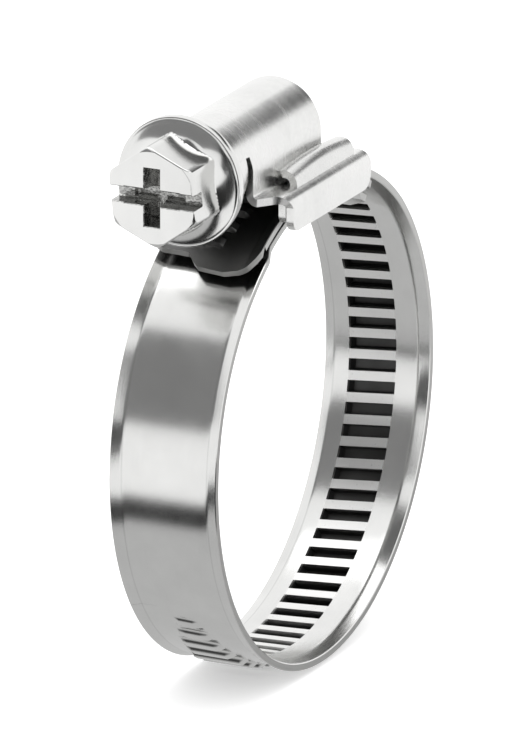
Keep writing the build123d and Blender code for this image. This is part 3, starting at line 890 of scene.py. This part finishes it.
def shell_rows():
    """The outer sheet: near wall, shoulder, barrel, far shoulder and far wall."""
    rows = [(fixed(NEAR_OUT, z), wall_front(z), wall_end(z)) for z in wall_levels(SHOULDER_Z - NEAR_BEND)]
    flat_y = NEAR_OUT + NEAR_BEND
    near_corner = arc(flat_y, SHOULDER_Z - NEAR_BEND, NEAR_BEND, 180, 90, 10)
    for i, (y, z) in enumerate(near_corner[1:]):
        rows.append((fixed(y, z), WALL_X - FRONT_SLANT * (i + 1) / 10, wall_end(z)))
    side_y = AXIS.y - BARREL_R
    front = WALL_X - FRONT_SLANT
    for i in range(1, 5):
        y = flat_y + (side_y - NEAR_HOLLOW - NEAR_OUT - NEAR_BEND) * i / 4
        rows.append((fixed(y, SHOULDER_Z), front + (SHOULDER_X - front) * i / 4, wall_end(SHOULDER_Z)))
    near_hollow = arc(side_y - NEAR_HOLLOW, SHOULDER_Z + NEAR_HOLLOW, NEAR_HOLLOW, -90, 0, 10)
    for i, (y, z) in enumerate(near_hollow):
        rows.append((fixed(y, z + 0.001), SHOULDER_X, BARREL_END if i else BARREL_END + 0.4))
    for z in (SHOULDER_Z + NEAR_HOLLOW + 0.5, AXIS.z - 0.6, AXIS.z - 0.05):
        rows.append((fixed(side_y, z), SHOULDER_X, BARREL_END))
    for y, z in arc(AXIS.y, AXIS.z, BARREL_R, 180, 0, 60):
        low = COLLAR_X
        if z < AXIS.z + SLIT_RISE:
            low = SHOULDER_X - 0.3 * (z - AXIS.z) / SLIT_RISE
        rows.append((fixed(y, z), low, BARREL_END))
    far_y = AXIS.y + BARREL_R
    for z in (AXIS.z - 0.6, SHOULDER_Z + FAR_BEND + 0.5):
        rows.append((fixed(far_y, z), SHOULDER_X, BARREL_END))
    for i, (y, z) in enumerate(arc(far_y + FAR_BEND, SHOULDER_Z + FAR_BEND, FAR_BEND, 180, 270, 6)):
        rows.append((fixed(y, z), SHOULDER_X, BARREL_END if i < 6 else wall_end(SHOULDER_Z)))
    for i, (y, z) in enumerate(arc(FAR_WALL - FAR_BEND, SHOULDER_Z - FAR_BEND, FAR_BEND, 90, 0, 6)):
        rows.append((fixed(y, z), SHOULDER_X + 0.35 * i, wall_end(z)))
    for z in reversed(wall_levels(SHOULDER_Z - FAR_BEND)):
        rows.append((fixed(FAR_WALL, z), wall_front(z), wall_end(z)))
    return rows


shell = sheet("housing_shell", shell_rows(), 44, SATIN_STEEL)

slit_turn = degrees(asin(SLIT_RISE / BARREL_R))
collar_rows = [
    (fixed(y, z), COLLAR_X, COLLAR_END)
    for y, z in arc(AXIS.y, AXIS.z, BARREL_R, 180 - slit_turn, 360 + slit_turn, 70)
]
sheet("housing_collar", collar_rows, 6, SATIN_STEEL)


def ring_row(y):
    """A line along the ring on the plate under the band."""
    return lambda x: (y, sqrt((BORE_R + SHEET / 2) ** 2 - x**2))


TAB_X = -6.2
TAB_END = 3.8
TAB_R = 0.8
TAB_Z = SHOULDER_Z + 0.42
TAB_BOW = 0.28
PLATE_BEND = 0.4
INNER_TOP = SHOULDER_Z - SHEET / 2 - 0.1
INNER_BACK = 0.6


def corner_row(turn):
    """The bend from the plate up into the near inner wall."""
    def place(x):
        z = sqrt((BORE_R + SHEET / 2) ** 2 - x**2)
        return NEAR_IN + PLATE_BEND - PLATE_BEND * sin(turn), z + PLATE_BEND - PLATE_BEND * cos(turn)
    return place


def tab_row(y, z):
    """The folded tab bows up a little along its length."""
    def place(x):
        share = min(1.0, max(0.0, (x - TAB_X) / (TAB_END - TAB_X)))
        return y, z + TAB_BOW * sin(pi * share) * min(1.0, max(0.0, (z - TAB_Z) / TAB_R))
    return place


def fold_rows():
    """The inner sheet: plate under the band, near inner wall, and the tab folded over the shoulder."""
    across = np.linspace(FAR_WALL - 0.35, NEAR_IN + PLATE_BEND, 9)
    rows = [(ring_row(y), -PLATE_X, PLATE_X) for y in across]
    rows += [(corner_row(pi / 2 * i / 6), -PLATE_X, PLATE_X) for i in range(1, 7)]
    heights = [WALL_LOW + SHEET + d for d in (0.06, 0.12, 0.25, 0.45, 0.7)]
    for z in heights + [INNER_TOP - 0.3, INNER_TOP]:
        end = wall_end(z - SHEET, INNER_BACK) - INNER_BACK
        rows.append((fixed(NEAR_IN, z), wall_front(z - SHEET, INNER_BACK), end))
    tab = [(NEAR_IN, INNER_TOP + 0.12), (NEAR_IN, INNER_TOP + 0.5), (NEAR_IN, TAB_Z)]
    tab += arc(NEAR_IN + TAB_R, TAB_Z, TAB_R, 180, 62, 14)[1:]
    last_y, last_z = tab[-1]
    tab += [(last_y + 0.2, last_z - 0.13), (last_y + 0.34, last_z - 0.26)]
    for i, (y, z) in enumerate(tab):
        trim = 0.5 * max(0.0, (i - len(tab) + 5) / 4) ** 2
        rows.append((tab_row(y, z), TAB_X + trim, TAB_END - trim))
    return rows


sheet("housing_fold", fold_rows(), 40, PRESSED_STEEL)


LIP_IN = 2.26
LIP_OUT = 3.4
LIP_THICK = 0.7
LIP_OPEN = 28  # degrees below level at which the lip ends, on each side


def rear_lip():
    """The lip at the barrel's back that keeps the screw in, open at the bottom."""
    front = BARREL_END - LIP_THICK
    ring = [(front, LIP_IN), (front, LIP_OUT), (BARREL_END - 0.06, LIP_OUT), (BARREL_END, LIP_OUT - 0.2)]
    ring += [(BARREL_END, LIP_IN + 0.1), (BARREL_END - 0.1, LIP_IN)]
    points, faces = [], []
    steps = 48
    for i in range(steps + 1):
        turn = radians(-LIP_OPEN + (180 + 2 * LIP_OPEN) * i / steps)
        points += [(x, AXIS.y + r * cos(turn), AXIS.z + r * sin(turn)) for x, r in ring]
    for i in range(0, 6 * steps, 6):
        faces += [(i + j, i + (j + 1) % 6, i + 6 + (j + 1) % 6, i + 6 + j) for j in range(6)]
    faces += [tuple(range(6)), tuple(6 * steps + 5 - j for j in range(6))]
    return shade(mesh_object("housing_lip", points, faces), 35.0)


lip = rear_lip()
lip.data.materials.append(PRESSED_STEEL)
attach(lip, "housing")
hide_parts("housing")

# ---------------------------------------------------------------- camera, floor and lights
VIEW_AZ = radians(-64.15)
VIEW_EL = radians(17.65)
VIEW_FAR = 1.511
LENS_MM = 944.54
SENSOR_MM = 36.0
SHIFT = -0.01144, 0.05984
back = Vector((sin(VIEW_AZ) * cos(VIEW_EL), -cos(VIEW_AZ) * cos(VIEW_EL), sin(VIEW_EL)))
camera = bpy.data.objects.new("camera", bpy.data.cameras.new("camera"))
bpy.context.collection.objects.link(camera)
camera.location = back * VIEW_FAR
camera.rotation_euler = back.to_track_quat("Z", "Y").to_euler()
camera.data.sensor_fit = "VERTICAL"
camera.data.sensor_height = SENSOR_MM
camera.data.lens = LENS_MM
camera.data.shift_x, camera.data.shift_y = SHIFT
camera.data.clip_end = 20.0
bpy.context.scene.camera = camera
bpy.context.scene.view_settings.view_transform = "Standard"


def floor():
    """A pale plain floor just under the part; it stays out of the steel's reflections."""
    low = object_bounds()[0][2] - 0.0002
    bpy.ops.mesh.primitive_plane_add(size=4.0, location=(0, 0, low))
    ground = bpy.context.object
    ground.name = "floor"
    material = bpy.data.materials.new("pale_floor")
    material.use_nodes = True
    surface = material.node_tree.nodes["Principled BSDF"]
    surface.inputs["Base Color"].default_value = (0.9, 0.9, 0.9, 1)
    surface.inputs["Roughness"].default_value = 0.8
    surface.inputs["Emission Color"].default_value = (1.0, 1.0, 1.0, 1)
    surface.inputs["Emission Strength"].default_value = 0.3
    ground.data.materials.append(material)
    ground.visible_glossy = False
    ground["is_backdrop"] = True


def light(name, place, size, power):
    """A soft square panel at a place in metres, facing the object."""
    lamp = bpy.data.lights.new(name, "AREA")
    lamp.energy = power
    lamp.size = size
    holder = bpy.data.objects.new(name, lamp)
    bpy.context.collection.objects.link(holder)
    holder.location = place
    aim = Vector(place) - Vector((0, 0, 0.003))
    holder.rotation_euler = aim.to_track_quat("Z", "Y").to_euler()


def card(name, centre, across, up, level):
    """A plain studio card that shows only in reflections: its centre and two half edges in metres."""
    centre, across, up = Vector(centre), Vector(across), Vector(up)
    corners = [centre + p * across + q * up for p, q in ((-1, -1), (1, -1), (1, 1), (-1, 1))]
    mesh = bpy.data.meshes.new(name)
    mesh.from_pydata([tuple(c) for c in corners], [], [(0, 1, 2, 3)])
    made = bpy.data.objects.new(name, mesh)
    bpy.context.collection.objects.link(made)
    material = bpy.data.materials.new(name)
    material.use_nodes = True
    material.node_tree.nodes.clear()
    tree = Tree(material.node_tree)
    glow = tree.add("ShaderNodeEmission", {}, (level, level, level, 1.0), 1.0)
    tree.make("ShaderNodeOutputMaterial", {}, glow)
    mesh.materials.append(material)
    made.visible_camera = False
    made.visible_diffuse = False
    made.visible_shadow = False
    made.visible_transmission = False
    made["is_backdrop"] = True


def table_card(name, low_x, high_x, half_y, level, drop=0.0, centre_y=0.0):
    """A card lying on the table between two distances along X, in millimetres."""
    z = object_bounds()[0][2] - 0.0003 - drop
    centre = ((low_x + high_x) / 2 * MM, centre_y * MM, z)
    card(name, centre, ((high_x - low_x) / 2 * MM, 0, 0), (0, half_y * MM, 0), level)


def far_card(name, azimuth, elevation, wide, tall, level, far=0.9):
    """A card facing the object from a compass direction (from +X towards +Y) and a height, in degrees."""
    a, e = radians(azimuth), radians(elevation)
    out = Vector((cos(a) * cos(e), sin(a) * cos(e), sin(e)))
    side = Vector((-sin(a), cos(a), 0))
    across = side * far * tan(radians(wide / 2))
    up = side.cross(out) * far * tan(radians(tall / 2))
    card(name, out * far, across, up, level)


floor()
world = bpy.data.worlds.new("studio")
world.use_nodes = True
world.node_tree.nodes["Background"].inputs[0].default_value = (1.0, 1.0, 1.0, 1)
world.node_tree.nodes["Background"].inputs[1].default_value = 1.15
bpy.context.scene.world = world
light("over", (-0.05, -0.05, 0.9), 0.9, 2.5)
table_card("table_wide", -2000, 2000, 2000, 1.15, 0.0006)
table_card("table_near", -39, 70, 70, 0.60)
table_card("table_stripe", -55, -38, 120, 0.01)
table_card("table_front", -900, -45, 90, 0.03, 0.0003, -118.0)
far_card("wall_left", 154, 28, 70, 40, 0.26)
far_card("wall_right", -14, 27, 30, 14, 0.04)
far_card("wall_front", 191, 4, 28, 10, 0.03)
far_card("ceiling", 200, 68, 40, 30, 0.10, 0.6)
